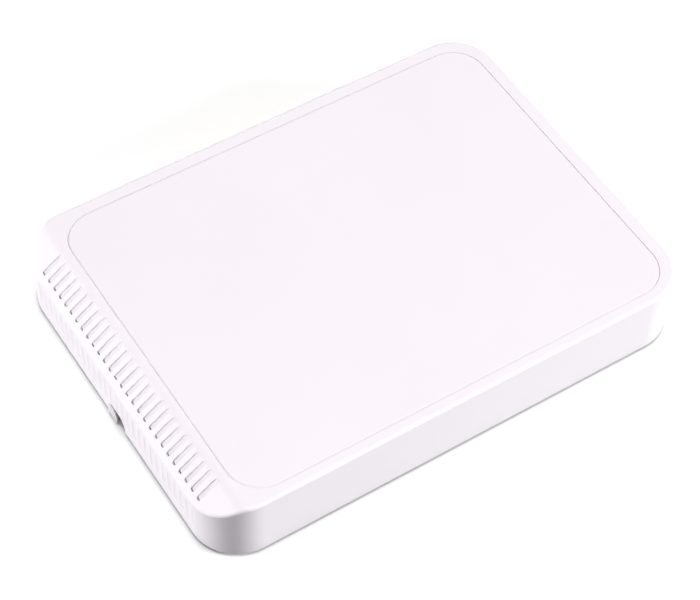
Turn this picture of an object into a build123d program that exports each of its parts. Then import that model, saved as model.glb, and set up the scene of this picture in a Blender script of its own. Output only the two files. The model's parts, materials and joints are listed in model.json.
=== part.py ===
"""Optical network terminal: a flat white desk-top case that holds a fibre receiver, router board and sockets.

Frame: millimetres, +Z up, origin on the desk below the middle of the case's plan. The sockets face +Y, the
vented end faces -X, the plain long side faces -Y and the push buttons and indicator lights are on +X.
"""
from build123d import *
from math import cos, radians, sin, tan
import os

# ---- Case: the white cover, its base and the plate let into its roof ----
case_length = 191.0
case_depth = 140.2
case_height = 26.5           # foot of the skirt to the roof
corner_radius = 17.0
skirt_wall = 2.0
roof_thickness = 2.6
skirt_stand = 1.5            # desk to the foot of the skirt
rim_round = 1.2

crown_width = 12.9           # plan width of the sloping band over the vented end
crown_angle = 35.0
crown_blend = 8.0            # radius that eases the roof into the slope

rim_front = 4.2              # roof left outside the inset plate, along the plain long side
rim_rear = 5.4               # the same along the sockets
rim_end = 5.45               # the same at the plain end
crown_margin = 0.2           # between the slope and the plate's pocket
plate_thickness = 1.2
groove_width = 0.5
groove_depth = 0.1
plate_ease = 0.1             # clearance of the plate's hidden flange in the pocket

# ---- Vents of the cover ----
vent_count = 28
vent_pitch = 3.96
vent_width = 2.0
crown_vent_length = 9.9
crown_vent_start = 2.2       # up the slope from its lower edge
louvre_open = 0.55           # length of each crown vent that is open right through
louvre_shallow = 0.25        # depth of the louvre's floor at its upper end
louvre_deep = 0.45           # the same where it breaks through
louvre_reach = 0.65          # depth of the tool that cuts a louvre's leaning walls
flute_length = 10.9
flute_start = 5.7            # above the foot of the skirt
flute_depth = 0.15           # closed flutes that carry the vents' rhythm down the wall
recess_draft = 45.0          # lean of the walls of the flutes and of the louvres, in degrees

# ---- Base ----
base_stand = 0.7             # desk to the underside of the base
base_floor = 2.0
base_ease = 0.25             # between the base's edge and the skirt
base_rim_wall = 1.4
base_rim_height = 4.2
foot_radius = 5.8
foot_inset_end = 30.0        # foot centre from the case's ends
foot_inset_side = 13.5       # foot centre from the long sides
foot_seat_depth = 0.8
foot_seat_ease = 0.2

# ---- Posts and case screws ----
post_inset_end = 15.0        # post centre from the case's ends
post_inset_side = 12.5       # post centre from the long sides
post_radius = 3.2
post_pilot_radius = 1.25
post_pilot_depth = 12.0
boss_radius = 4.4
boss_height = 5.4            # above the base's floor
boss_gap = 0.1
post_embed = 0.8
screw_clear_radius = 1.7
screw_shank_radius = 1.2
screw_shank_reach = 8.0      # how far the shank enters the post
screw_head_radius = 2.7
screw_head_height = 1.8
screw_head_ease = 0.3
screw_head_sink = 0.5
drive_radius = 1.3
drive_depth = 0.9

# ---- Vents and hang-up keyholes of the base ----
floor_vent_count = 12
floor_vent_pitch = 5.0
floor_vent_width = 2.4
floor_vent_length = 26.0
floor_vent_rows = 2
floor_vent_row_pitch = 34.0
floor_vent_shift = 8.0       # middle of the field from the middle of the case
keyhole_spacing = 100.0
keyhole_shift = 34.0         # from the middle of the case towards the plain side
keyhole_radius = 4.0
keyhole_slot_width = 4.2
keyhole_slot_length = 9.0
keyhole_cup_wall = 1.0
keyhole_cup_height = 3.9

# ---- Sliding release latch at the vented end ----
notch_width = 12.0
notch_shift = 1.0            # middle of the notch from the middle of the wall, towards the plain side
notch_height = 5.6
notch_corner = 4.5
latch_travel = 4.0
latch_gap = 0.25
latch_thumb_width = 6.6
latch_thumb_height = 3.2
latch_thumb_stand = 1.1      # desk to the thumb pad's underside
latch_thumb_reach = 1.7      # how far the thumb pad stands out of the wall
latch_thumb_depth = 1.6
latch_thumb_round = 1.2
latch_bar_width = 22.0
latch_bar_depth = 3.0
latch_bar_thickness = 1.2
latch_arm_depth = 1.6
hook_width = 3.4
hook_height = 1.2
hook_level = 3.4             # underside of the catch lugs above the foot of the skirt
hook_depth = 1.3             # how far the lugs stand in from the wall
hook_bite = 0.9
rail_wall = 1.2
rail_lip = 0.8
rail_lip_height = 1.0
kerb_height = 1.4            # low edge of the base in front of the latch

# ---- Main board ----
board_thickness = 1.6
board_standoff = 4.6         # above the base's floor
board_right_gap = 5.0        # to the skirt's inner face at the +X end
board_left_gap = 20.0        # the same at the vented end
board_rear_gap = 0.5         # to the back of the socket panel
board_front_gap = 23.5       # to the skirt's inner face on the plain side
board_corner_cut_x = 15.0    # corner left out round the rear right post
board_corner_cut_y = 15.0
board_screw_inset = 5.5
board_screw_rear_inset = 24.0
board_middle_screw_x = -36.0  # from the middle of the board
board_middle_screw_y = -9.0
board_screw_radius = 1.3
board_hole_radius = 1.6
board_screw_head_radius = 2.6
board_screw_head_height = 1.7
board_screw_length = 5.0     # below the head
standoff_radius = 3.0
standoff_bore_radius = 1.35
standoff_bore_ease = 0.4

# ---- Socket panel ----
panel_plate = 2.0
panel_flange = 1.0
panel_flange_lap = 1.2
panel_post_gap = 5.0         # middle of the rear posts to the ends of the opening
panel_top_margin = 4.0       # roof down to the top of the opening
panel_ease = 0.2
socket_recess = 0.6          # socket mouths behind the panel's face
socket_ease = 0.25

# ---- Sockets: width, height, depth ----
lan_count = 4
lan_gap = 0.7                # between neighbours in the block of network sockets
lan_width = 15.8
lan_height = 13.4
lan_depth = 18.0
lan_mouth_width = 11.9
lan_mouth_height = 7.0
lan_mouth_depth = 13.5
lan_mouth_lift = 4.6         # floor of the mouth above the board
lan_tab_width = 6.2
lan_tab_depth = 2.4
lan_contact_count = 8

tel_width = 13.0
tel_height = 12.4
tel_depth = 15.0
tel_mouth_width = 9.9
tel_mouth_height = 6.8
tel_mouth_depth = 11.0
tel_mouth_lift = 3.8
tel_tab_width = 4.2
tel_tab_depth = 1.8
tel_contact_count = 4

contact_pitch = 1.02
contact_width = 0.45
contact_thickness = 0.35
contact_reach = 5.0          # out of the mouth's back wall
contact_drop = 2.2           # how far the free end springs into the mouth

usb_width = 13.1
usb_height = 6.9
usb_depth = 14.0
usb_skin = 0.4
usb_floor = 1.4
usb_tongue_width = 11.1
usb_tongue_thickness = 1.9
usb_tongue_length = 8.5
usb_back = 2.0

dc_width = 9.0
dc_height = 11.0
dc_depth = 12.0
dc_nose_radius = 4.2
dc_bore_radius = 3.1
dc_bore_depth = 9.5
dc_pin_radius = 1.0
dc_pin_length = 8.6
dc_axis_lift = 6.0

# ---- Optical port ----
adapter_width = 12.6
adapter_height = 9.6
adapter_length = 24.0
adapter_mouth_width = 9.1
adapter_mouth_height = 7.4
adapter_mouth_depth = 15.0
sleeve_outer_radius = 1.9
sleeve_bore_radius = 1.25
sleeve_length = 11.0
sleeve_ease = 0.03
sleeve_slit = 0.5
module_width = 8.0
module_height = 7.6
module_length = 9.0
module_nose_radius = 3.2
module_nose_length = 5.0
module_nose_ease = 0.1
can_radius = 2.8
can_length = 5.5
optical_shield_width = 21.0
optical_shield_length = 20.0
optical_shield_height = 10.5
shield_skin = 0.3
shield_gap = 0.3
cap_flange_width = 12.2
cap_flange_height = 9.2
cap_flange_thickness = 1.2
cap_plug_ease = 0.15
cap_plug_length = 8.0
cap_bore_ease = 0.3
cap_knob_width = 7.0
cap_knob_height = 3.6
cap_knob_length = 5.0
cap_seat_gap = 0.1

# ---- Buttons and their switches ----
tact_travel = 0.3
tact_width = 6.0
tact_depth = 3.6
tact_height = 4.2
tact_axis_lift = 2.2
plunger_width = 2.4
plunger_height = 1.8
plunger_out = 1.4
plunger_in = 0.8
plunger_ease = 0.1
button_width = 8.0
button_height = 4.0
button_proud = 0.6
button_ease = 0.2
button_flange = 1.0
button_flange_thickness = 1.0
button_stem_radius = 1.2
button_stem_gap = 0.05
button_pitch = 12.0
buttons_from_screw = 8.0     # first button from the board's front screw
reset_hole_radius = 1.0
reset_setback = 1.3          # switch behind the board's rear edge

power_travel = 2.5
power_cap_radius = 4.2
power_cap_proud = 1.8
power_cap_ease = 0.25
power_cap_length = 8.0
power_flange_radius = 5.2
power_flange_thickness = 1.0
power_flange_gap = 0.2
power_switch_width = 8.0
power_switch_depth = 12.0
power_switch_gap = 0.3
power_axis_lift = 5.4
power_plunger_side = 3.0
power_plunger_in = 4.0
power_plunger_ease = 0.1
power_socket_depth = 3.5

# ---- Indicator lights ----
light_count = 6
light_pitch = 5.0
lights_from_button = 13.0    # first light from the last button
light_window = 2.0
light_ease = 0.1
light_bar_depth = 2.0
light_board_gap = 0.3
light_inlet = 1.1            # how far each light finger reaches back over the board
led_length = 1.6
led_depth = 1.0
led_height = 0.9
led_gap = 0.3

# ---- Chips and cooling ----
soc_side = 19.0
soc_height = 1.2
soc_x = -6.0                 # from the middle of the board
soc_y = -4.0
pad_side = 18.0
pad_thickness = 0.5
sink_side = 42.0
sink_base = 2.0
sink_height = 10.0
sink_fin_count = 9
sink_fin_thickness = 1.2
sink_ear_side = 8.0
sink_pin_radius = 1.4
sink_pin_hole_radius = 1.6
sink_pin_head_radius = 2.6
sink_pin_head_height = 1.4
sink_pin_foot_radius = 2.2
sink_pin_foot_height = 1.2
memory_length = 13.0
memory_width = 9.5
memory_x = 33.0              # from the middle of the main chip
memory_y = 14.0
flash_length = 8.0
flash_width = 6.0
flash_x = -33.0
flash_y = 14.0
chip_height = 1.0
wifi_chip_side = 11.0
can_length_x = 28.0
can_width_y = 20.0
can_right_gap = 14.5         # to the board's plain end
can_front_gap = 9.0          # to the board's front edge
can_pitch = 22.0
can_height = 2.8
phone_side = 9.0
phone_shift = 3.5            # off the middle of the telephone socket
phone_gap = 1.5              # to the network transformers

# ---- Small parts on the board ----
transformer_length = 15.0
transformer_width = 9.5
transformer_height = 5.6
transformer_gap = 4.0        # behind the network sockets
capacitor_radius = 4.0
capacitor_height = 11.5
capacitor_pitch = 10.0
capacitor_rows = 2
capacitor_columns = 2
capacitor_left_gap = 15.5    # middle of the group to the board's edge
capacitor_rear_gap = 43.0
inductor_side = 6.6
inductor_height = 3.2
inductor_count = 3
inductor_pitch = 10.0
inductor_left_gap = 15.5     # middle of the group to the board's edge
inductor_front_gap = 30.0
regulator_length = 5.0
regulator_width = 4.0
regulator_setback = 10.0
crystal_length = 11.0
crystal_width = 4.6
crystal_height = 3.4
crystal_left_gap = 42.5      # middle of the pair to the board's edge
crystal_front_gap = 23.0
crystal_pitch = 9.0

# ---- Aerials ----
aerial_length = 45.0
aerial_height = 9.0
aerial_thickness = 0.8
aerial_lift = 10.5           # above the base's floor
aerial_corner_gap = 5.5      # to the start of the case's rounded corner
lead_radius = 0.55
lead_bend = 0.45             # share of the shorter run that each bend takes up
lead_plug_radius = 1.5
lead_plug_height = 1.3
lead_left_plug_shift = 24.0  # from the middle of the board
lead_right_plug_gap = 19.5   # to the board's plain end
lead_plug_inset = 6.0        # from the board's front edge
lead_left_exit = 18.0        # from the aerial's middle to where its lead leaves
lead_right_exit = 16.0

# ---- Worked out from the sizes above ----
half_length = case_length / 2
half_depth = case_depth / 2
case_top = skirt_stand + case_height
inner_x = half_length - skirt_wall
inner_y = half_depth - skirt_wall
ceiling = case_top - roof_thickness
crown_slope = radians(crown_angle)
crown_blend_tangent = crown_blend * tan(crown_slope / 2)
crown_drop = (crown_width - crown_blend_tangent) * tan(crown_slope)
crown_foot = case_top - crown_drop

pocket_left = crown_width + crown_margin - half_length
pocket_right = half_length - rim_end
pocket_length = pocket_right - pocket_left
pocket_depth = case_depth - rim_front - rim_rear
pocket_x = (pocket_left + pocket_right) / 2
pocket_y = (rim_front - rim_rear) / 2
pocket_radius = corner_radius - rim_front

floor_top = base_stand + base_floor
base_inset = skirt_wall + base_ease
boss_top = floor_top + boss_height
post_foot = boss_top + boss_gap
post_x = half_length - post_inset_end
post_y = half_depth - post_inset_side

panel_half = post_x - panel_post_gap
panel_back = half_depth - panel_plate
panel_top = case_top - panel_top_margin
flange_back = panel_back - panel_flange
mouth_y = half_depth - socket_recess

board_bottom = floor_top + board_standoff
board_top = board_bottom + board_thickness
board_left = board_left_gap - inner_x
board_right = inner_x - board_right_gap
board_front = board_front_gap - inner_y
board_rear = flange_back - board_rear_gap
board_x = (board_left + board_right) / 2
board_y = (board_front + board_rear) / 2
lan_pitch = lan_width + lan_gap
lan_block = lan_count * lan_pitch - lan_gap
socket_widths = (2 * power_flange_radius, dc_width, tact_width, usb_width, lan_block, tel_width,
                 adapter_width)
socket_gap = (2 * panel_half - sum(socket_widths)) / (len(socket_widths) + 1)


def socket_place(number):
    """Middle of a socket along the panel: the sockets share the space between them evenly."""
    return socket_gap * (number + 1) + sum(socket_widths[:number]) + socket_widths[number] / 2 - panel_half


power_x, dc_x, reset_x, usb_x, lan_x, tel_x, optical_x = (socket_place(i) for i in range(len(socket_widths)))
optical_z = board_top + adapter_height / 2
dc_z = board_top + dc_axis_lift
power_z = board_top + power_axis_lift
tact_z = board_top + tact_axis_lift

wlan_y = board_front + board_screw_inset + buttons_from_screw
wps_y = wlan_y + button_pitch
light_first_y = wps_y + lights_from_button
light_z = board_top + light_window / 2
light_last_y = light_first_y + (light_count - 1) * light_pitch

hook_bottom = skirt_stand + hook_level
hook_tip_x = hook_depth - inner_x
nose_bottom = hook_bottom + hook_height + latch_gap
nose_top = nose_bottom + hook_height
latch_front_x = hook_tip_x + latch_gap
latch_back_x = latch_front_x + latch_bar_depth
latch_bar_bottom = floor_top + latch_gap
latch_bar_top = latch_bar_bottom + latch_bar_thickness
notch_start = -notch_width / 2 - notch_shift
notch_end = notch_width / 2 - notch_shift
latch_thumb_y = latch_travel / 2 - notch_shift
hook_y = (latch_bar_width - hook_width) / 2

power_cap_front = half_depth + power_cap_proud
power_cap_back = power_cap_front - power_cap_length
power_switch_front = power_cap_back - power_travel - power_switch_gap

adapter_back = mouth_y - adapter_length
adapter_seat = mouth_y - adapter_mouth_depth
module_back = adapter_back - module_length
soc_place_x = board_x + soc_x
soc_place_y = board_y + soc_y
sink_bottom = board_top + soc_height + pad_thickness
can_x = board_right - can_right_gap - can_length_x / 2
can_5g_y = board_front + can_front_gap + can_width_y / 2
can_2g_y = can_5g_y + can_pitch
transformer_y = mouth_y - lan_depth - transformer_gap - transformer_width / 2
phone_x = tel_x - phone_shift
phone_y = transformer_y - transformer_width / 2 - phone_gap - phone_side / 2
aerial_x = half_length - corner_radius - aerial_corner_gap - aerial_length / 2
lead_left_plug_x = board_x + lead_left_plug_shift
lead_right_plug_x = board_right - lead_right_plug_gap


# ---- Shapes used throughout ----
def block(x0, x1, y0, y1, z0, z1):
    """A box between two corners."""
    middle = Pos((x0 + x1) / 2, (y0 + y1) / 2, (z0 + z1) / 2)
    return middle * Box(abs(x1 - x0), abs(y1 - y0), abs(z1 - z0))


def block_at(x, y, length, width, z0, height):
    """A box that stands at z0 on a middle point."""
    return block(x - length / 2, x + length / 2, y - width / 2, y + width / 2, z0, z0 + height)


def rod(x, y, z0, z1, radius):
    """An upright cylinder."""
    return Pos(x, y, (z0 + z1) / 2) * Cylinder(radius, abs(z1 - z0))


def rod_along_y(x, z, y0, y1, radius):
    return Pos(x, (y0 + y1) / 2, z) * Rot(90, 0, 0) * Cylinder(radius, abs(y1 - y0))


def rod_along_x(y, z, x0, x1, radius):
    return Pos((x0 + x1) / 2, y, z) * Rot(0, 90, 0) * Cylinder(radius, abs(x1 - x0))


def rounded_plate(x, y, length, width, radius, z0, z1):
    outline = Pos(x, y, z0) * RectangleRounded(length, width, radius)
    return extrude(outline, z1 - z0)


def profile_along_x(points, x0, x1):
    """A flat outline of (y, z) points, swept from x0 to x1."""
    outline = make_face(Polyline([(x0, y, z) for y, z in points], close=True))
    return extrude(outline, x1 - x0, dir=(1, 0, 0))


def bar_along_y(x, z, y0, y1, width, height):
    """A box round a line that runs along Y."""
    return block(x - width / 2, x + width / 2, y0, y1, z - height / 2, z + height / 2)


def bar_along_x(y, z, x0, x1, width, height):
    return block(x0, x1, y - width / 2, y + width / 2, z - height / 2, z + height / 2)


def spread(count, pitch, middle=0.0):
    """Places of a row of things at an even pitch."""
    return [middle + (i - (count - 1) / 2) * pitch for i in range(count)]


def corners(x, y):
    return [(sx * x, sy * y) for sx in (-1, 1) for sy in (-1, 1)]


def save(name, shape):
    solids = shape if isinstance(shape, list) else [shape]
    export_step(Compound(children=[s for part in solids for s in part.solids()]), f"parts/{name}.step")


# ---- Cover ----
def end_profile(inset, bottom, roof_inset):
    """Side view of the case: flat roof, eased into the slope over the vented end."""
    top = case_top - roof_inset
    wall_x = inset - half_length
    slope_foot = crown_foot + inset * (tan(crown_slope) - 1 / cos(crown_slope))
    apex_x = wall_x + (top - slope_foot) / tan(crown_slope)
    right_x = half_length - inset
    points = [(wall_x, bottom), (right_x, bottom), (right_x, top), (apex_x, top), (wall_x, slope_foot)]
    outline = make_face(Polyline(points, close=True))
    apex = outline.vertices().sort_by_distance((apex_x, top, 0))[0]
    return Plane.XZ * fillet(apex, crown_blend - inset)


def case_form(inset, bottom, roof_inset):
    """The case's outer form, drawn in by a wall."""
    plan = RectangleRounded(case_length - 2 * inset, case_depth - 2 * inset, corner_radius - inset)
    upright = extrude(Pos(0, 0, bottom) * plan, case_height * 2)
    return upright & extrude(end_profile(inset, bottom, roof_inset), case_depth, both=True)


def rim_edges(form):
    """The edge loop where the roof and the slope meet the upright walls."""
    found = []
    for edge in form.edges():
        middle = edge @ 0.5
        along_y = edge.geom_type == GeomType.LINE and abs((edge % 0.5).X) < rim_round / case_length
        across_roof = along_y and abs(middle.X) < half_length - rim_round
        if middle.Z > crown_foot - rim_round and not across_roof:
            found.append(edge)
    return found


def crown_vents():
    """Slots down the slope: a shallow floor that breaks through at its lower end."""
    up_slope = (cos(crown_slope), 0, sin(crown_slope))
    outward = (-sin(crown_slope), 0, cos(crown_slope))
    foot = (-half_length, 0, crown_foot)
    face = Plane(origin=foot, x_dir=up_slope, z_dir=outward)
    side = Plane(origin=foot, x_dir=up_slope, z_dir=(0, -1, 0))
    middle = crown_vent_start + crown_vent_length / 2
    slot = SlotOverall(crown_vent_length, vent_width)
    slots = Sketch() + [Pos(middle, y) * slot for y in spread(vent_count, vent_pitch, pocket_y)]
    through = skirt_wall * 3
    low = crown_vent_start - vent_width
    high = crown_vent_start + crown_vent_length + vent_width
    opened = crown_vent_start + louvre_open
    above_floor = [(low, through), (high, through), (high, -louvre_shallow), (low, -louvre_deep)]
    above_floor = extrude(side * make_face(Polyline(above_floor, close=True)), half_depth, both=True)
    below_opening = [(low, through), (opened, through), (opened, -through), (low, -through)]
    below_opening = extrude(side * make_face(Polyline(below_opening, close=True)), half_depth, both=True)
    louvres = extrude(face * slots, -louvre_reach, taper=recess_draft) & above_floor
    return louvres + (extrude(face * slots, through, both=True) & below_opening)


def wall_flutes():
    """Shallow upright flutes below the slope, one under each vent."""
    face = Plane(origin=(-half_length, 0, 0), x_dir=(0, 0, 1), z_dir=(-1, 0, 0))
    middle = skirt_stand + flute_start + flute_length / 2
    slot = SlotOverall(flute_length, vent_width)
    slots = Sketch() + [Pos(middle, y) * slot for y in spread(vent_count, vent_pitch, pocket_y)]
    return extrude(face * slots, -flute_depth, taper=recess_draft)


def latch_notch():
    """Arched notch at the foot of the vented end, for the latch's thumb pad."""
    low, high = skirt_stand - notch_corner, skirt_stand + notch_height
    outline = make_face(Polyline([(notch_start, low), (notch_end, low), (notch_end, high),
                                  (notch_start, high)], close=True))
    outline = fillet(outline.vertices().group_by(Axis.Y)[-1], notch_corner)
    return extrude(Plane.YZ.offset(-half_length) * outline, skirt_wall * 2, both=True)


def plate_pocket():
    return rounded_plate(pocket_x, pocket_y, pocket_length, pocket_depth, pocket_radius,
                         case_top - plate_thickness, case_top + plate_thickness)


def socket_opening():
    """The opening in the rear wall that the socket panel fills."""
    return block(-panel_half, panel_half, panel_back, half_depth, 0, panel_top)


def button_shape(y, grow):
    """Outline of a side button on the plain end, grown all round."""
    face = Plane(origin=(0, y, tact_z), x_dir=(0, 1, 0), z_dir=(1, 0, 0))
    return face * SlotOverall(button_width + 2 * grow, button_height + 2 * grow)


def button_holes():
    holes = [button_shape(y, button_ease) for y in (wlan_y, wps_y)]
    return Part() + [extrude(Pos(inner_x - 1, 0, 0) * hole, skirt_wall + 2) for hole in holes]


def light_places():
    return [light_first_y + i * light_pitch for i in range(light_count)]


def light_holes():
    side = light_window + 2 * light_ease
    return Part() + [bar_along_x(y, light_z, inner_x, half_length, side, side) for y in light_places()]


def posts():
    """Posts from the roof down to the base's bosses, with pilot holes for the case screws."""
    places = corners(post_x, post_y)
    pilot_top = post_foot + post_pilot_depth
    made = Part() + [rod(x, y, post_foot, ceiling + post_embed, post_radius) for x, y in places]
    return made - [rod(x, y, post_foot, pilot_top, post_pilot_radius) for x, y in places]


def catch_lugs():
    """Two lugs inside the end wall, which the latch hooks over."""
    outer_x = -inner_x - skirt_wall / 2
    middle_z = hook_bottom + hook_height / 2
    return Part() + [bar_along_x(y, middle_z, outer_x, hook_tip_x, hook_width, hook_height)
                     for y in (-hook_y, hook_y)]


def top_shell():
    form = case_form(0, skirt_stand, 0)
    shell = fillet(rim_edges(form), rim_round) - case_form(skirt_wall, 0, roof_thickness)
    shell = shell + posts() + catch_lugs()
    shell = shell - plate_pocket() - socket_opening() - latch_notch()
    shell = shell - button_holes() - light_holes()
    return shell - wall_flutes() - crown_vents()


def top_panel():
    """The inset roof plate: its face stands clear of the shell by the groove, its flange fills the pocket."""
    face_length, face_depth = pocket_length - 2 * groove_width, pocket_depth - 2 * groove_width
    bottom = case_top - plate_thickness
    flange_top = case_top - groove_depth
    face = rounded_plate(pocket_x, pocket_y, face_length, face_depth, pocket_radius - groove_width, bottom,
                         case_top)
    flange = rounded_plate(pocket_x, pocket_y, pocket_length - 2 * plate_ease, pocket_depth - 2 * plate_ease,
                           pocket_radius - plate_ease, bottom, flange_top)
    return face + flange


# ---- Base ----
def base_rim():
    """Upstand round the base, left out behind the sockets and round the latch."""
    outer = rounded_plate(0, 0, case_length - 2 * base_inset, case_depth - 2 * base_inset,
                          corner_radius - base_inset, floor_top, floor_top + base_rim_height)
    drawn_in = base_inset + base_rim_wall
    inside = rounded_plate(0, 0, case_length - 2 * drawn_in, case_depth - 2 * drawn_in,
                           corner_radius - drawn_in, floor_top, floor_top + base_rim_height)
    rim = outer - inside
    flange_room = panel_flange_lap + panel_ease
    flange_end = panel_half + flange_room
    rim -= block(-flange_end, flange_end, flange_back - base_rim_wall, half_depth, floor_top, case_top)
    latch_room = latch_bar_width / 2 + latch_travel + 1
    rim -= block(-half_length, latch_back_x, -latch_room, latch_room, floor_top + kerb_height, case_top)
    kerb_back = latch_front_x - latch_gap
    rim -= block(kerb_back, latch_back_x + rail_wall, -latch_room, latch_room, floor_top, case_top)
    return rim - block(-half_length, latch_back_x, notch_start, notch_end, floor_top, case_top)


def latch_rail():
    """Rail behind the latch, with a lip over it."""
    half = latch_bar_width / 2
    back = latch_back_x + latch_gap
    lip_bottom = latch_bar_top + latch_gap
    wall = block(back, back + rail_wall, -half, half, floor_top, lip_bottom + rail_lip_height)
    lip = block(back - rail_lip, back + rail_wall, -half, half, lip_bottom, lip_bottom + rail_lip_height)
    return wall + lip


def screw_places():
    """Case screws hold the plain end: the latch holds the vented end."""
    return [(post_x, -post_y), (post_x, post_y)]


def boss_bores():
    head_top = base_stand + screw_head_sink + screw_head_height
    bores = []
    for x, y in screw_places():
        bores.append(rod(x, y, 0, head_top, screw_head_radius + screw_head_ease))
        bores.append(rod(x, y, 0, boss_top + 1, screw_clear_radius))
    return Part() + bores


def board_screw_places():
    left, right = board_left + board_screw_inset, board_right - board_screw_inset
    front, rear = board_front + board_screw_inset, board_rear - board_screw_rear_inset
    middle = (board_x + board_middle_screw_x, board_y + board_middle_screw_y)
    return [(left, front), (right, front), (left, rear), (right, rear), middle]


def foot_places():
    return corners(half_length - foot_inset_end, half_depth - foot_inset_side)


def floor_vents():
    slot = Rot(0, 0, 90) * SlotOverall(floor_vent_length, floor_vent_width)
    places = [(x, y) for x in spread(floor_vent_count, floor_vent_pitch, floor_vent_shift)
              for y in spread(floor_vent_rows, floor_vent_row_pitch)]
    return extrude(Sketch() + [Pos(x, y) * slot for x, y in places], floor_top)


def keyhole_places():
    return [(x, -keyhole_shift) for x in spread(2, keyhole_spacing)]


def keyholes():
    """Round entries with a slot towards the plain side, to hang the case on two screw heads."""
    cuts = []
    for x, y in keyhole_places():
        slot_end = y - keyhole_slot_length
        half = keyhole_slot_width / 2
        cuts.append(rod(x, y, 0, floor_top, keyhole_radius))
        cuts.append(block(x - half, x + half, slot_end, y, 0, floor_top))
        cuts.append(rod(x, slot_end, 0, floor_top, half))
    return Part() + cuts


def keyhole_cups():
    """Closed cups over the keyholes, which keep the screw heads away from the board."""
    cups = Part()
    reach = keyhole_slot_length + keyhole_radius
    for x, y in keyhole_places():
        middle_y = y - keyhole_slot_length / 2
        width, length = 2 * keyhole_radius, reach + keyhole_radius
        outer = block_at(x, middle_y, width + 2 * keyhole_cup_wall, length + 2 * keyhole_cup_wall,
                         floor_top, keyhole_cup_height)
        room = block_at(x, middle_y, width, length, floor_top, keyhole_cup_height - keyhole_cup_wall)
        cups += outer - room
    return cups


def bottom_shell():
    base = rounded_plate(0, 0, case_length - 2 * base_inset, case_depth - 2 * base_inset,
                         corner_radius - base_inset, base_stand, floor_top)
    sill_end = panel_half - panel_ease
    sill = block(-sill_end, sill_end, inner_y - base_rim_wall, half_depth, skirt_stand, floor_top)
    base = base + sill + base_rim() + latch_rail() + keyhole_cups()
    base += [rod(x, y, base_stand, boss_top, boss_radius) for x, y in corners(post_x, post_y)]
    standoffs = board_screw_places()
    bore_foot = board_top - board_screw_length - standoff_bore_ease
    base += [rod(x, y, floor_top, board_bottom, standoff_radius) for x, y in standoffs]
    base -= [rod(x, y, bore_foot, board_bottom, standoff_bore_radius) for x, y in standoffs]
    seat_radius = foot_radius + foot_seat_ease
    base -= [rod(x, y, 0, base_stand + foot_seat_depth, seat_radius) for x, y in foot_places()]
    return base - boss_bores() - floor_vents() - keyholes()


def rubber_feet():
    return [rod(x, y, 0, base_stand + foot_seat_depth, foot_radius) for x, y in foot_places()]


def screw(x, y, head_z0, head_z1, head_radius, tip_z, shank_radius, drive_z0, drive_z1):
    """A screw: head, shank and a hexagonal drive recess."""
    body = rod(x, y, head_z0, head_z1, head_radius) + rod(x, y, head_z1, tip_z, shank_radius)
    recess = extrude(Pos(x, y, drive_z0) * RegularPolygon(drive_radius, 6), drive_z1 - drive_z0)
    return body - recess


def case_screws():
    head_bottom = base_stand + screw_head_sink
    head_top = head_bottom + screw_head_height
    tip = post_foot + screw_shank_reach
    return [screw(x, y, head_bottom, head_top, screw_head_radius, tip, screw_shank_radius,
                  head_bottom, head_bottom + drive_depth) for x, y in screw_places()]


def release_latch():
    """Bar that slides along the vented end: thumb pad outside, two hooks over the cover's lugs."""
    half = latch_bar_width / 2
    bar = block(latch_front_x, latch_back_x, -half, half, latch_bar_bottom, latch_bar_top)
    thumb_low, thumb_high = latch_thumb_y - latch_thumb_width / 2, latch_thumb_y + latch_thumb_width / 2
    pad_outer = -half_length - latch_thumb_reach
    arm = block(pad_outer, latch_back_x, thumb_low, thumb_high, latch_bar_bottom, latch_bar_top)
    pad = block(pad_outer, pad_outer + latch_thumb_depth, thumb_low, thumb_high,
                latch_thumb_stand, latch_thumb_stand + latch_thumb_height)
    pad = fillet(pad.edges().filter_by(Axis.Z).group_by(Axis.X)[0], latch_thumb_round)
    latch = bar + arm + pad
    arm_back = latch_front_x + latch_arm_depth
    for y in (-hook_y, hook_y):
        low, high = y - hook_width / 2, y + hook_width / 2
        latch += block(latch_front_x, arm_back, low, high, latch_bar_bottom, nose_top)
        latch += block(hook_tip_x - hook_bite, arm_back, low, high, nose_bottom, nose_top)
    return latch


# ---- Socket panel ----
def socket_hole(x, width, height):
    """A hole round a socket that stands on the board, open a little all round."""
    half = width / 2 + socket_ease
    return block(x - half, x + half, flange_back, half_depth, board_top - socket_ease,
                 board_top + height + socket_ease)


def lan_places():
    return spread(lan_count, lan_pitch, lan_x)


def port_panel():
    """Plate with the socket holes, held behind the rear wall by a thin flange."""
    plate_end = panel_half - panel_ease
    flange_end = panel_half + panel_flange_lap
    plate = block(-plate_end, plate_end, panel_back, half_depth, floor_top, panel_top - panel_ease)
    flange = block(-flange_end, flange_end, flange_back, panel_back, floor_top, panel_top + panel_flange_lap)
    panel = plate + flange
    panel -= [socket_hole(x, lan_width, lan_height) for x in lan_places()]
    panel -= socket_hole(tel_x, tel_width, tel_height)
    panel -= socket_hole(usb_x, usb_width, usb_height)
    panel -= socket_hole(optical_x, adapter_width, adapter_height)
    panel -= rod_along_y(dc_x, dc_z, flange_back, half_depth, dc_nose_radius + socket_ease)
    panel -= rod_along_y(power_x, power_z, flange_back, half_depth, power_cap_radius + power_cap_ease)
    return panel - rod_along_y(reset_x, tact_z, flange_back, half_depth, reset_hole_radius)


# ---- Main board ----
def sink_pin_places():
    offset = (sink_side - sink_ear_side) / 2
    return [(soc_place_x - offset, soc_place_y + offset), (soc_place_x + offset, soc_place_y - offset)]


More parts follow.
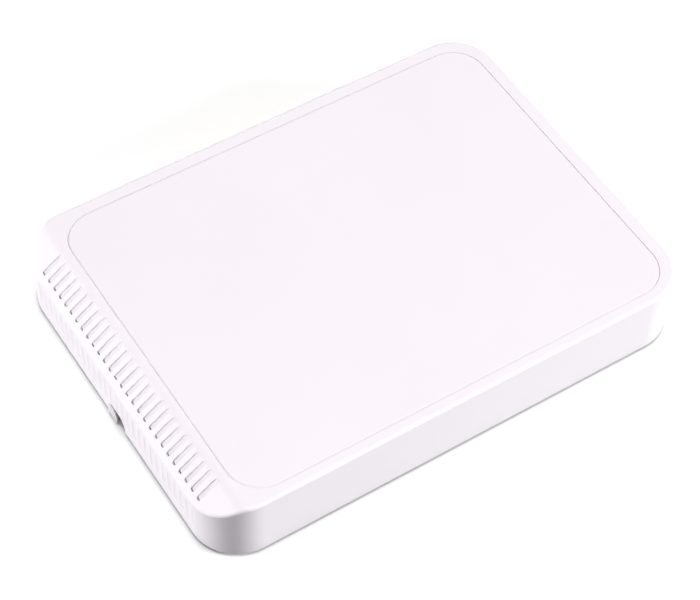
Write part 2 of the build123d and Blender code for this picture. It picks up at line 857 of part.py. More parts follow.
def main_board():
    board = block(board_left, board_right, board_front, board_rear, board_bottom, board_top)
    board -= block(board_right - board_corner_cut_x, board_right, board_rear - board_corner_cut_y, board_rear,
                   board_bottom, board_top)
    holes = board_screw_places()
    board -= [rod(x, y, board_bottom, board_top, board_hole_radius) for x, y in holes]
    board -= [rod(x, y, board_bottom, board_top, sink_pin_hole_radius) for x, y in sink_pin_places()]
    return board


def board_screws():
    tip = board_top - board_screw_length
    head_top = board_top + board_screw_head_height
    return [screw(x, y, head_top, board_top, board_screw_head_radius, tip, board_screw_radius,
                  head_top - drive_depth, head_top) for x, y in board_screw_places()]


def chip(x, y, length, width):
    """A flat chip on the board."""
    return block_at(x, y, length, width, board_top, chip_height)


def soc_chip():
    return block_at(soc_place_x, soc_place_y, soc_side, soc_side, board_top, soc_height)


def thermal_pad():
    return block_at(soc_place_x, soc_place_y, pad_side, pad_side, board_top + soc_height, pad_thickness)


def soc_heatsink():
    sink = block_at(soc_place_x, soc_place_y, sink_side, sink_side, sink_bottom, sink_base)
    fin_pitch = (sink_side - sink_fin_thickness) / (sink_fin_count - 1)
    for x in spread(sink_fin_count, fin_pitch, soc_place_x):
        sink += block_at(x, soc_place_y, sink_fin_thickness, sink_side, sink_bottom, sink_height)
    for x, y in sink_pin_places():
        sink -= block_at(x, y, sink_ear_side, sink_ear_side, sink_bottom + sink_base, sink_height)
        sink -= rod(x, y, sink_bottom, sink_bottom + sink_base, sink_pin_hole_radius)
    return sink


def heatsink_pins():
    """Push pins that hold the heatsink down through the board."""
    seat = sink_bottom + sink_base
    pins = []
    for x, y in sink_pin_places():
        pin = rod(x, y, board_bottom - sink_pin_foot_height, seat, sink_pin_radius)
        pin += rod(x, y, seat, seat + sink_pin_head_height, sink_pin_head_radius)
        pin += rod(x, y, board_bottom - sink_pin_foot_height, board_bottom, sink_pin_foot_radius)
        pins.append(pin)
    return pins


def wifi_shield(y):
    """Folded metal can over a radio chip."""
    outer = block_at(can_x, y, can_length_x, can_width_y, board_top, can_height)
    return outer - block_at(can_x, y, can_length_x - 2 * shield_skin, can_width_y - 2 * shield_skin,
                            board_top, can_height - shield_skin)


# ---- Sockets ----
def socket_body(x, width, height, depth):
    """A socket's block on the board, its front at the mouths."""
    return block_at(x, mouth_y - depth / 2, width, depth, board_top, height)


def socket_room(x, width, bottom, height, depth):
    """A hollow that runs back from the mouth."""
    return block_at(x, mouth_y - depth / 2, width, depth, bottom, height)


def lan_jack(x):
    """Network socket: the mouth and, below it, the channel for the plug's tab."""
    floor = board_top + lan_mouth_lift
    jack = socket_body(x, lan_width, lan_height, lan_depth)
    jack -= socket_room(x, lan_mouth_width, floor, lan_mouth_height, lan_mouth_depth)
    return jack - socket_room(x, lan_tab_width, floor - lan_tab_depth, lan_tab_depth, lan_mouth_depth)


def tel_jack():
    """Telephone socket, made as the network ones are."""
    floor = board_top + tel_mouth_lift
    jack = socket_body(tel_x, tel_width, tel_height, tel_depth)
    jack -= socket_room(tel_x, tel_mouth_width, floor, tel_mouth_height, tel_mouth_depth)
    return jack - socket_room(tel_x, tel_tab_width, floor - tel_tab_depth, tel_tab_depth, tel_mouth_depth)


def contacts(x, count, back, top):
    """Spring contacts that hang from the mouth's back wall."""
    tip_y, tip_top = back + contact_reach, top - contact_drop
    points = [(back, top), (tip_y, tip_top), (tip_y, tip_top - contact_thickness),
              (back, top - 2 * contact_thickness)]
    half = contact_width / 2
    return [profile_along_x(points, place - half, place + half) for place in spread(count, contact_pitch, x)]


def lan_contacts():
    top = board_top + lan_mouth_lift + lan_mouth_height - contact_thickness
    back = mouth_y - lan_mouth_depth
    return [blade for x in lan_places() for blade in contacts(x, lan_contact_count, back, top)]


def tel_contacts():
    top = board_top + tel_mouth_lift + tel_mouth_height - contact_thickness
    return contacts(tel_x, tel_contact_count, mouth_y - tel_mouth_depth, top)


def usb_port():
    """Folded steel socket on a plastic foot."""
    room_height = usb_height - usb_floor - usb_skin
    body = socket_body(usb_x, usb_width, usb_height, usb_depth)
    return body - socket_room(usb_x, usb_width - 2 * usb_skin, board_top + usb_floor, room_height,
                              usb_depth - usb_back)


def usb_tongue():
    back = mouth_y - usb_depth + usb_back
    top = board_top + usb_height - 2 * usb_skin
    return bar_along_y(usb_x, top - usb_tongue_thickness / 2, back, back + usb_tongue_length,
                       usb_tongue_width, usb_tongue_thickness)


def dc_jack():
    """Power socket: square body behind the panel, round nose through it."""
    body = block_at(dc_x, board_rear - dc_depth / 2, dc_width, dc_depth, board_top, dc_height)
    nose = rod_along_y(dc_x, dc_z, board_rear, mouth_y, dc_nose_radius)
    return body + nose - rod_along_y(dc_x, dc_z, mouth_y - dc_bore_depth, mouth_y, dc_bore_radius)


def dc_pin():
    back = mouth_y - dc_bore_depth
    return rod_along_y(dc_x, dc_z, back, back + dc_pin_length, dc_pin_radius)


# ---- Optical port ----
def optical_block(width, height, y0, y1):
    """A box round the fibre's axis."""
    return bar_along_y(optical_x, optical_z, y0, y1, width, height)


def optical_rod(radius, y0, y1):
    return rod_along_y(optical_x, optical_z, y0, y1, radius)


def sc_adapter():
    """Square fibre receptacle: mouth in front, a bored wall for the sleeve and a nose seat at the back."""
    body = optical_block(adapter_width, adapter_height, adapter_back, mouth_y)
    body -= optical_block(adapter_mouth_width, adapter_mouth_height, adapter_seat, mouth_y)
    body -= optical_rod(sleeve_outer_radius + sleeve_ease, adapter_back, adapter_seat)
    nose_room = module_nose_radius + module_nose_ease
    return body - optical_rod(nose_room, adapter_back, adapter_back + module_nose_length)


def ferrule_sleeve():
    """Split ceramic sleeve that lines up the two fibre ends."""
    start = adapter_back + module_nose_length
    end = start + sleeve_length
    sleeve = optical_rod(sleeve_outer_radius, start, end) - optical_rod(sleeve_bore_radius, start, end)
    slit_z = optical_z + sleeve_outer_radius
    return sleeve - bar_along_y(optical_x, slit_z, start, end, sleeve_slit, 2 * sleeve_outer_radius)


def optical_module():
    """Transceiver: block, nose into the receptacle and two round laser and detector cans."""
    body = optical_block(module_width, module_height, module_back, adapter_back)
    nose = optical_rod(module_nose_radius, adapter_back, adapter_back + module_nose_length)
    rear_can = optical_rod(can_radius, module_back - can_length, module_back)
    side = optical_x - module_width / 2
    side_can = rod_along_x((module_back + adapter_back) / 2, optical_z, side - can_length, side, can_radius)
    return body + nose + rear_can + side_can


def optical_shield():
    """Metal cover over the transceiver, open towards the receptacle."""
    front = adapter_back - shield_gap
    room_length = optical_shield_length - shield_skin
    outer = block_at(optical_x, front - optical_shield_length / 2, optical_shield_width,
                     optical_shield_length, board_top, optical_shield_height)
    return outer - block_at(optical_x, front - room_length / 2, optical_shield_width - 2 * shield_skin,
                            room_length, board_top, optical_shield_height - shield_skin)


def optical_dust_cap():
    """Push-in cap: hollow plug, flange against the mouth and a grip."""
    flange_start = mouth_y + cap_seat_gap
    flange_end = flange_start + cap_flange_thickness
    cap = optical_block(cap_flange_width, cap_flange_height, flange_start, flange_end)
    plug_start = flange_start - cap_plug_length
    plug_width = adapter_mouth_width - 2 * cap_plug_ease
    plug_height = adapter_mouth_height - 2 * cap_plug_ease
    cap += optical_block(plug_width, plug_height, plug_start, flange_start)
    cap -= optical_rod(sleeve_outer_radius + cap_bore_ease, plug_start, flange_start)
    return cap + optical_block(cap_knob_width, cap_knob_height, flange_end, flange_end + cap_knob_length)


# ---- Buttons and switches ----
def power_switch():
    """Push-on, push-off switch with a square socket for its plunger."""
    body = block_at(power_x, power_switch_front - power_switch_depth / 2, power_switch_width,
                    power_switch_depth, board_top, 2 * power_axis_lift)
    room = power_plunger_side + 2 * power_plunger_ease
    room_back = power_switch_front - power_plunger_in - power_travel - power_switch_gap
    return body - bar_along_y(power_x, power_z, room_back, power_switch_front, room, room)


def power_plunger():
    return bar_along_y(power_x, power_z, power_switch_front - power_plunger_in,
                       power_cap_back + power_socket_depth, power_plunger_side, power_plunger_side)


def power_button():
    """Round cap: a flange keeps it behind the panel, a square socket takes the plunger."""
    cap = rod_along_y(power_x, power_z, power_cap_back, power_cap_front, power_cap_radius)
    front_edge = cap.edges().group_by(Axis.Y)[-1]
    cap = fillet(front_edge, rim_round / 2)
    flange_front = flange_back - power_flange_gap
    flange_start = flange_front - power_flange_thickness
    cap += rod_along_y(power_x, power_z, flange_start, flange_front, power_flange_radius)
    return cap - bar_along_y(power_x, power_z, power_cap_back, power_cap_back + power_socket_depth,
                             power_plunger_side, power_plunger_side)


def tact_switch():
    """Side-pushed tactile switch, drawn at the middle of the case with its front at X = 0."""
    body = block_at(-tact_depth / 2, 0, tact_depth, tact_width, board_top, tact_height)
    depth = plunger_in + tact_travel + plunger_ease
    return body - bar_along_x(0, tact_z, -depth, 0, plunger_width + 2 * plunger_ease,
                              plunger_height + 2 * plunger_ease)


def tact_plunger():
    return bar_along_x(0, tact_z, -plunger_in, plunger_out, plunger_width, plunger_height)


def side_place(y):
    """At the board's plain end, facing +X."""
    return Pos(board_right, y, 0)


def reset_place():
    """Behind the pinhole, facing +Y."""
    return Pos(reset_x, board_rear - reset_setback, 0) * Rot(0, 0, 90)


def side_button(y):
    """Stadium-shaped cap with a flange inside the wall and a stem to the switch."""
    flange_outer = inner_x - plunger_ease
    flange_inner = flange_outer - button_flange_thickness
    cap = extrude(Pos(flange_inner, 0, 0) * button_shape(y, 0), half_length + button_proud - flange_inner)
    cap = fillet(cap.edges().group_by(Axis.X)[-1], button_proud / 2)
    cap += extrude(Pos(flange_inner, 0, 0) * button_shape(y, button_flange), button_flange_thickness)
    stem_start = board_right + plunger_out + button_stem_gap
    return cap + rod_along_x(y, tact_z, stem_start, flange_inner, button_stem_radius)


# ---- Indicator lights ----
def light_guide():
    """Six clear fingers on one bar, from the lights to windows in the plain end wall."""
    bar_start = board_right + light_board_gap
    bar_y = (light_first_y + light_last_y) / 2
    bar = bar_along_x(bar_y, light_z, bar_start, bar_start + light_bar_depth,
                      light_last_y - light_first_y, light_window)
    inlet = board_right - light_inlet
    return bar + [bar_along_x(y, light_z, inlet, half_length, light_window, light_window)
                  for y in light_places()]


def leds():
    x = board_right - light_inlet - led_gap - led_depth / 2
    return [block_at(x, y, led_depth, led_length, board_top, led_height) for y in light_places()]


# ---- Small parts ----
def lan_transformers():
    return [block_at(x, transformer_y, transformer_length, transformer_width, board_top, transformer_height)
            for x in lan_places()]


def capacitors():
    places = [(x, y) for x in spread(capacitor_columns, capacitor_pitch, board_left + capacitor_left_gap)
              for y in spread(capacitor_rows, capacitor_pitch, board_rear - capacitor_rear_gap)]
    return [rod(x, y, board_top, board_top + capacitor_height, capacitor_radius) for x, y in places]


def supply_rows():
    """Each supply is an inductor with its regulator beside it."""
    return spread(inductor_count, inductor_pitch, board_front + inductor_front_gap)


def inductors():
    x = board_left + inductor_left_gap
    return [block_at(x, y, inductor_side, inductor_side, board_top, inductor_height) for y in supply_rows()]


def regulators():
    x = board_left + inductor_left_gap + regulator_setback
    return [block_at(x, y, regulator_length, regulator_width, board_top, chip_height) for y in supply_rows()]


def crystals():
    outline = SlotOverall(crystal_length, crystal_width)
    x = board_left + crystal_left_gap
    return [extrude(Pos(x, y, board_top) * outline, crystal_height)
            for y in spread(2, crystal_pitch, board_front + crystal_front_gap)]


# ---- Aerials ----
def aerial(x):
    """Flat aerial board against the plain side wall."""
    bottom = floor_top + aerial_lift
    return block(x - aerial_length / 2, x + aerial_length / 2, -inner_y, aerial_thickness - inner_y,
                 bottom, bottom + aerial_height)


def cord(points):
    """A round lead along straight runs joined by arcs as large as the runs allow."""
    stops = [Vector(*p) for p in points]
    radii = []
    for before, corner, after in zip(stops, stops[1:], stops[2:]):
        turn = radians((corner - before).get_angle(after - corner))
        shorter = min((corner - before).length, (after - corner).length)
        radii.append(lead_bend * shorter / tan(turn / 2))
    path = FilletPolyline(*points, radius=radii)
    start = Plane(origin=path @ 0, z_dir=path % 0)
    print("lead", round(path.length, 1), "radii", [round(r, 1) for r in radii])
    return sweep(start * Circle(lead_radius), path=path)


def lead_heights():
    """Height at the aerial and where the lead meets its plug."""
    return floor_top + aerial_lift + aerial_height / 2, board_top + lead_plug_height / 2


def aerial_lead_left():
    """Along the plain wall inside, well off it, then down on to its plug."""
    high, low = lead_heights()
    wall_y = aerial_thickness - inner_y
    plug_y = board_front + lead_plug_inset - lead_plug_radius
    start_x = lead_left_exit - aerial_x
    end_x = lead_left_plug_x
    step = (end_x - start_x) / 5
    return cord([
        (start_x, wall_y, high),
        (start_x, wall_y + 7, high),
        (start_x + step * 0.8, wall_y + 11.5, high - 2.2),
        (start_x + step * 2.1, wall_y + 13.5, high - 4.6),
        (start_x + step * 3.4, wall_y + 15.5, low + 1.6),
        (start_x + step * 4.5, wall_y + 19, low + 0.4),
        (end_x - 1, plug_y - 5, low + 0.1),
        (end_x, plug_y, low),
    ])


def aerial_lead_right():
    """Straight down from the aerial on to its plug."""
    high, low = lead_heights()
    wall_y = aerial_thickness - inner_y
    plug_y = board_front + lead_plug_inset - lead_plug_radius
    start_x = aerial_x + lead_right_exit
    end_x = lead_right_plug_x
    return cord([
        (start_x, wall_y, high),
        (start_x, wall_y + 6, high - 0.4),
        (start_x + 1.6, wall_y + 11.5, high - 2.6),
        (end_x - 1.2, wall_y + 17, low + 2.2),
        (end_x - 0.2, plug_y - 5.5, low + 0.4),
        (end_x, plug_y, low),
    ])


def lead_plugs():
    y = board_front + lead_plug_inset
    return [rod(x, y, board_top, board_top + lead_plug_height, lead_plug_radius)
            for x in (lead_left_plug_x, lead_right_plug_x)]


parts = {
    "top_shell": top_shell(),
    "top_panel": top_panel(),
    "bottom_shell": bottom_shell(),
    "rubber_feet": rubber_feet(),
    "case_screws": case_screws(),
    "release_latch": release_latch(),
    "port_panel": port_panel(),
    "main_board": main_board(),
    "board_screws": board_screws(),
    "soc_chip": soc_chip(),
    "thermal_pad": thermal_pad(),
    "soc_heatsink": soc_heatsink(),
    "heatsink_pins": heatsink_pins(),
    "memory_chip": chip(soc_place_x + memory_x, soc_place_y + memory_y, memory_length, memory_width),
    "flash_chip": chip(soc_place_x + flash_x, soc_place_y + flash_y, flash_length, flash_width),
    "wifi_chip_2g": chip(can_x, can_2g_y, wifi_chip_side, wifi_chip_side),
    "wifi_chip_5g": chip(can_x, can_5g_y, wifi_chip_side, wifi_chip_side),
    "wifi_shield_2g": wifi_shield(can_2g_y),
    "wifi_shield_5g": wifi_shield(can_5g_y),
    "phone_chip": chip(phone_x, phone_y, phone_side, phone_side),
    "lan_contacts": lan_contacts(),
    "tel_jack": tel_jack(),
    "tel_contacts": tel_contacts(),
    "usb_port": usb_port(),
    "usb_tongue": usb_tongue(),
    "dc_jack": dc_jack(),
    "dc_pin": dc_pin(),
    "sc_adapter": sc_adapter(),
    "ferrule_sleeve": ferrule_sleeve(),
    "optical_module": optical_module(),
    "optical_shield": optical_shield(),
    "optical_dust_cap": optical_dust_cap(),
    "power_switch": power_switch(),
    "power_plunger": power_plunger(),
    "power_button": power_button(),
    "wlan_switch": side_place(wlan_y) * tact_switch(),
    "wlan_plunger": side_place(wlan_y) * tact_plunger(),
    "wlan_button": side_button(wlan_y),
    "wps_switch": side_place(wps_y) * tact_switch(),
    "wps_plunger": side_place(wps_y) * tact_plunger(),
    "wps_button": side_button(wps_y),
    "reset_switch": reset_place() * tact_switch(),
    "reset_plunger": reset_place() * tact_plunger(),
    "light_guide": light_guide(),
    "leds": leds(),
    "lan_transformers": lan_transformers(),
    "capacitors": capacitors(),
    "inductors": inductors(),
    "regulators": regulators(),
    "crystals": crystals(),
    "aerial_left": aerial(-aerial_x),
    "aerial_right": aerial(aerial_x),
    "aerial_lead_left": aerial_lead_left(),
    "aerial_lead_right": aerial_lead_right(),
    "lead_plugs": lead_plugs(),
}
for number, x in enumerate(lan_places(), start=1):
    parts[f"lan_jack_{number}"] = lan_jack(x)

os.makedirs("parts", exist_ok=True)
for name, shape in parts.items():
    save(name, shape)
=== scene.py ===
"""Looks of the optical network terminal: a flat white case with a plate let into its roof.

Metres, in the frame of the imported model: Z up from the desk, the vented end at -X, the sockets at +Y.
"""
import json

import bpy
from math import cos, radians, sin
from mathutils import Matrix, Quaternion, Vector


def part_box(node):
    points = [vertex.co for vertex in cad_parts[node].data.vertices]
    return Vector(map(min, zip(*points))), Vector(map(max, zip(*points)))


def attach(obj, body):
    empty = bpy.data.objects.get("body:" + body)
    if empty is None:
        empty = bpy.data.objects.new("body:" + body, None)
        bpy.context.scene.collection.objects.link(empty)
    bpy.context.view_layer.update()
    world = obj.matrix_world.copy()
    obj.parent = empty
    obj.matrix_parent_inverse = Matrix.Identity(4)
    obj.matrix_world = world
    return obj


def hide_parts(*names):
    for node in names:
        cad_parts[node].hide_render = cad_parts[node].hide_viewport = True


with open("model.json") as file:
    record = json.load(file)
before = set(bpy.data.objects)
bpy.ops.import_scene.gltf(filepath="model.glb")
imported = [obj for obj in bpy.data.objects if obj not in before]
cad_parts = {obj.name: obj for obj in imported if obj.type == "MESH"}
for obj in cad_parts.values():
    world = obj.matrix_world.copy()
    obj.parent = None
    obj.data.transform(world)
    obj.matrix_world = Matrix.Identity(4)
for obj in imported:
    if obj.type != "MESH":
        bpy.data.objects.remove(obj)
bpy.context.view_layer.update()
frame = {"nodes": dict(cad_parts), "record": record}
nodes = frame["nodes"]
slot_of = {row["node"]: row["material_slot"] for row in frame["record"]["subparts"]}
shell_low, shell_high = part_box("top_shell")
plate_low, plate_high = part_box("top_panel")

MM = 0.001


# ---- Material helpers ----
NOISE_LOW, NOISE_HIGH = 0.3, 0.7                    # the values that noise mostly stays between
COLOUR_A, COLOUR_B, COLOUR_OUT = 6, 7, 2            # a Mix node's sockets for colours, by number
VECTOR_A, VECTOR_B, VECTOR_OUT = 4, 5, 1            # and for vectors


class Recipe:
    """A material under construction: one Principled shader and the nodes that feed it."""

    def __init__(self, name):
        self.material = bpy.data.materials.new(name)
        self.material.use_nodes = True
        self.tree = self.material.node_tree
        self.shader = self.tree.nodes["Principled BSDF"]
        self.place = self.tree.nodes.new("ShaderNodeTexCoord").outputs["Object"]

    def node(self, kind, **settings):
        made = self.tree.nodes.new(kind)
        for key, value in settings.items():
            setattr(made, key, value)
        return made

    def link(self, source, target):
        self.tree.links.new(source, target)

    def noise(self, size, detail=2.0, roughness=0.5):
        """Noise whose grains are about this size, in metres."""
        made = self.node("ShaderNodeTexNoise")
        made.inputs["Scale"].default_value = 1.0 / size
        made.inputs["Detail"].default_value = detail
        made.inputs["Roughness"].default_value = roughness
        self.link(self.place, made.inputs["Vector"])
        return made.outputs["Fac"]

    def ramp(self, value, start, end, low=0.0, high=1.0, curve="LINEAR"):
        """The value's range start..end brought to low..high, and held beyond it."""
        made = self.node("ShaderNodeMapRange", interpolation_type=curve)
        for key, number in (("From Min", start), ("From Max", end), ("To Min", low), ("To Max", high)):
            made.inputs[key].default_value = number
        self.link(value, made.inputs["Value"])
        return made.outputs["Result"]

    def spread(self, value, low=0.0, high=1.0):
        """The noise value brought into a range."""
        return self.ramp(value, NOISE_LOW, NOISE_HIGH, low, high)

    def mix(self, factor, first, second):
        """A colour between two, by a value."""
        made = self.node("ShaderNodeMix", data_type="RGBA")
        self.link(factor, made.inputs[0])
        for number, colour in ((COLOUR_A, first), (COLOUR_B, second)):
            if isinstance(colour, tuple):
                made.inputs[number].default_value = (*colour, 1.0)
            else:
                self.link(colour, made.inputs[number])
        return made.outputs[COLOUR_OUT]

    def calc(self, operation, *values):
        """A Math node on values and sockets."""
        made = self.node("ShaderNodeMath", operation=operation)
        for number, value in enumerate(values):
            if isinstance(value, (int, float)):
                made.inputs[number].default_value = value
            else:
                self.link(value, made.inputs[number])
        return made.outputs[0]

    def beyond(self, value, limit):
        """How far the value's size is past a limit, and 0 before it."""
        return self.calc("MAXIMUM", self.calc("SUBTRACT", self.calc("ABSOLUTE", value), limit), 0.0)

    def distance(self, along, across):
        """The length of a way with these two legs."""
        squares = [self.calc("POWER", leg, 2.0) for leg in (along, across)]
        return self.calc("SQRT", self.calc("ADD", *squares))

    def axes(self):
        """The place's x, y and z."""
        split = self.node("ShaderNodeSeparateXYZ")
        self.link(self.place, split.inputs[0])
        return split.outputs

    def lean(self, normal, way, factor):
        """A normal turned part of the way towards a direction."""
        made = self.node("ShaderNodeMix", data_type="VECTOR")
        self.link(factor, made.inputs[0])
        self.link(normal, made.inputs[VECTOR_A])
        made.inputs[VECTOR_B].default_value = way
        level = self.node("ShaderNodeVectorMath", operation="NORMALIZE")
        self.link(made.outputs[VECTOR_OUT], level.inputs[0])
        return level.outputs[0]

    def colour(self, source):
        self.link(source, self.shader.inputs["Base Color"])

    def roughness(self, source):
        self.link(source, self.shader.inputs["Roughness"])

    def bump(self, height, depth, under=None):
        """Surface relief of this depth, in metres, on the surface's own normal or on another."""
        made = self.node("ShaderNodeBump")
        made.inputs["Distance"].default_value = depth
        self.link(height, made.inputs["Height"])
        if under:
            self.link(under, made.inputs["Normal"])
        self.link(made.outputs["Normal"], self.shader.inputs["Normal"])

    def set(self, **values):
        for key, value in values.items():
            self.shader.inputs[key.replace("_", " ")].default_value = value
        return self


def shade(colour, by):
    """The colour made darker or lighter by a factor."""
    return tuple(c * by for c in colour)


# ---- Moulded plastic: spark-eroded grain, flow marks and an even satin sheen ----
PLASTIC_IOR = 1.5
FLOW_SIZE, FLOW_DETAIL = 38 * MM, 3.0
FLOW_SHADE = 0.012               # share of the colour that a flow mark takes away
FLOW_GLOSS = 0.07                # share by which it changes the roughness
GRAIN_SIZE, GRAIN_BREAKUP = 0.45 * MM, 0.6
GRAIN_DEPTH = 0.006 * MM


def moulded_plastic(name, colour, roughness, grain_depth=GRAIN_DEPTH, shade_and_lean=None):
    """Injection-moulded plastic; an optional function paints shade into its tone and leans its normal in
    places.
    """
    recipe = Recipe(name)
    flow = recipe.noise(FLOW_SIZE, detail=FLOW_DETAIL)
    tone = recipe.mix(recipe.spread(flow), shade(colour, 1.0 - FLOW_SHADE), colour)
    normal = None
    if shade_and_lean:
        tone, normal = shade_and_lean(recipe, tone)
    recipe.colour(tone)
    recipe.roughness(recipe.spread(flow, roughness * (1.0 - FLOW_GLOSS), roughness * (1.0 + FLOW_GLOSS)))
    recipe.bump(recipe.noise(GRAIN_SIZE, roughness=GRAIN_BREAKUP), grain_depth, normal)
    return recipe.set(IOR=PLASTIC_IOR).material


# ---- The vents' recesses: painted shade makes them darker than the case, and their walls' normals lean so they shade as if round-edged ----
VENT_COUNT = 28
VENT_PITCH = 3.96 * MM
VENT_WIDTH = 2.0 * MM
VENT_MIDDLE = (plate_low.y + plate_high.y) / 2      # the row is centred on the plate
SLOPE = radians(35)
SLOPE_HEIGHT = 7.27 * MM
SLOPE_FOOT = (shell_low.x, shell_high.z - SLOPE_HEIGHT)     # x and z of the slope's lower edge
SLOT_START, SLOT_LENGTH = 2.2 * MM, 9.9 * MM        # up the slope
FLUTE_MARGIN = 5.7 * MM                             # from the shell's lower edge
FLUTE_START, FLUTE_LENGTH = shell_low.z + FLUTE_MARGIN, 10.9 * MM
RECESS_BLUR = 0.12 * MM                             # width over which a recess's edge fades
RECESS_LEAN = 0.85                                  # how far its walls shade like the face around it
WALL_REACH = 0.4 * MM                               # how deep behind the wall's face a flute may lie
SLOT_PAINTED_SHADE = (0.17, 0.09)                        # painted shade: share of the colour lost, at its lower end first
# painted shade in the flutes: share of the colour lost
FLUTE_PAINTED_SHADE = 0.04


def recess_mask(recipe, along, start, length, across):
    """1 inside a round-ended recess and 0 outside, from a place along it and the distance across."""
    from_middle = recipe.calc("SUBTRACT", along, start + length / 2)
    past_straight = recipe.beyond(from_middle, (length - VENT_WIDTH) / 2)
    return recipe.ramp(recipe.distance(past_straight, across),
                       (VENT_WIDTH + RECESS_BLUR) / 2, (VENT_WIDTH - RECESS_BLUR) / 2)


def vent_painted_shade_and_lean(recipe, tone):
    """The tone, darkened by painted shade, and the leaned normal of the slots on the slope and of the flutes
    on the wall below.
    """
    calc = recipe.calc
    x, y, z = recipe.axes()
    across = calc("PINGPONG", calc("SUBTRACT", y, VENT_MIDDLE + VENT_PITCH / 2), VENT_PITCH / 2)
    from_middle = calc("ABSOLUTE", calc("SUBTRACT", y, VENT_MIDDLE))
    in_row = calc("LESS_THAN", from_middle, VENT_COUNT * VENT_PITCH / 2)
    from_foot = calc("SUBTRACT", x, SLOPE_FOOT[0])
    above_foot = calc("SUBTRACT", z, SLOPE_FOOT[1])
    up_slope = calc("ADD", calc("MULTIPLY", from_foot, cos(SLOPE)), calc("MULTIPLY", above_foot, sin(SLOPE)))

    slot = calc("MULTIPLY", in_row, recess_mask(recipe, up_slope, SLOT_START, SLOT_LENGTH, across))
    # painted shade in the slots, deepest at their lower end
    slot_painted_shade = recipe.ramp(up_slope, SLOT_START + VENT_WIDTH, SLOT_START + SLOT_LENGTH, *SLOT_PAINTED_SHADE)
    on_wall = calc("MULTIPLY", in_row, calc("LESS_THAN", from_foot, WALL_REACH))
    flute = calc("MULTIPLY", on_wall, recess_mask(recipe, z, FLUTE_START, FLUTE_LENGTH, across))

    # painted shade: the colour is darkened inside the slots and flutes
    painted_shade = calc("ADD", calc("MULTIPLY", slot, slot_painted_shade), calc("MULTIPLY", flute, FLUTE_PAINTED_SHADE))
    scaled = recipe.node("ShaderNodeVectorMath", operation="SCALE")
    recipe.link(tone, scaled.inputs[0])
    recipe.link(calc("SUBTRACT", 1.0, painted_shade), scaled.inputs["Scale"])
    normal = recipe.node("ShaderNodeNewGeometry").outputs["Normal"]
    normal = recipe.lean(normal, (-sin(SLOPE), 0.0, cos(SLOPE)), calc("MULTIPLY", slot, RECESS_LEAN))
    normal = recipe.lean(normal, (-1.0, 0.0, 0.0), calc("MULTIPLY", flute, RECESS_LEAN))
    return scaled.outputs[0], normal


# ---- Rubber and soft plastic ----
RUBBER_IOR = 1.45
RUBBER_CLOUDS = 2.5 * MM
RUBBER_SHADES = (0.9, 1.05)
RUBBER_SCUFFS, RUBBER_ROUGHNESS = 1.2 * MM, (0.72, 0.88)
RUBBER_GRAIN, RUBBER_GRAIN_DEPTH = 0.25 * MM, 0.02 * MM


def rubber(name, colour):
    """Matt rubber or soft plastic, faintly clouded and scuffed."""
    recipe = Recipe(name)
    dark, light = (shade(colour, by) for by in RUBBER_SHADES)
    recipe.colour(recipe.mix(recipe.spread(recipe.noise(RUBBER_CLOUDS)), dark, light))
    recipe.roughness(recipe.spread(recipe.noise(RUBBER_SCUFFS), *RUBBER_ROUGHNESS))
    recipe.bump(recipe.noise(RUBBER_GRAIN), RUBBER_GRAIN_DEPTH)
    return recipe.set(IOR=RUBBER_IOR).material


# ---- Plated metal ----
STREAK_LENGTH, STREAK_WIDTH = 6 * MM, 0.15 * MM
STREAK_DEPTH = 0.004 * MM
STREAK_SHADE = 0.92
STREAK_GLOSS = (0.8, 1.25)       # times the roughness


def plated_metal(name, colour, roughness):
    """Sheet or turned metal with a faint drawn grain."""
    recipe = Recipe(name)
    stretch = recipe.node("ShaderNodeMapping")
    stretch.inputs["Scale"].default_value = (1.0 / STREAK_LENGTH, 1.0 / STREAK_WIDTH, 1.0 / STREAK_WIDTH)
    recipe.link(recipe.place, stretch.inputs["Vector"])
    texture = recipe.node("ShaderNodeTexNoise")
    texture.inputs["Scale"].default_value = 1.0
    recipe.link(stretch.outputs["Vector"], texture.inputs["Vector"])
    streaks = texture.outputs["Fac"]
    recipe.colour(recipe.mix(recipe.spread(streaks), shade(colour, STREAK_SHADE), colour))
    recipe.roughness(recipe.spread(streaks, *(roughness * share for share in STREAK_GLOSS)))
    recipe.bump(streaks, STREAK_DEPTH)
    return recipe.set(Metallic=1.0).material


# ---- Light guide ----
ACRYLIC_IOR = 1.49
ACRYLIC_CLEARNESS = 0.85
ACRYLIC_CLOUDS, ACRYLIC_SHADE = 6 * MM, 0.97
ACRYLIC_HAZE, ACRYLIC_ROUGHNESS = 3 * MM, (0.12, 0.22)


def clear_acrylic(name, colour):
    """Polished clear acrylic with a little haze."""
    recipe = Recipe(name)
    clouds = recipe.spread(recipe.noise(ACRYLIC_CLOUDS))
    recipe.colour(recipe.mix(clouds, shade(colour, ACRYLIC_SHADE), colour))
    recipe.roughness(recipe.spread(recipe.noise(ACRYLIC_HAZE), *ACRYLIC_ROUGHNESS))
    return recipe.set(IOR=ACRYLIC_IOR, Transmission_Weight=ACRYLIC_CLEARNESS).material


# ---- Printed boards ----
MASK_GREEN = (0.010, 0.085, 0.040)
TRACK_GREEN = (0.030, 0.170, 0.075)
TRACK_PITCH = 3.2 * MM
TRACK_EDGE = (0.05, 0.09)        # its start and end from the track's middle, as shares of the pitch
TRACK_HEIGHT = 0.03 * MM
MASK_ROUGHNESS, MASK_IOR = 0.32, 1.5


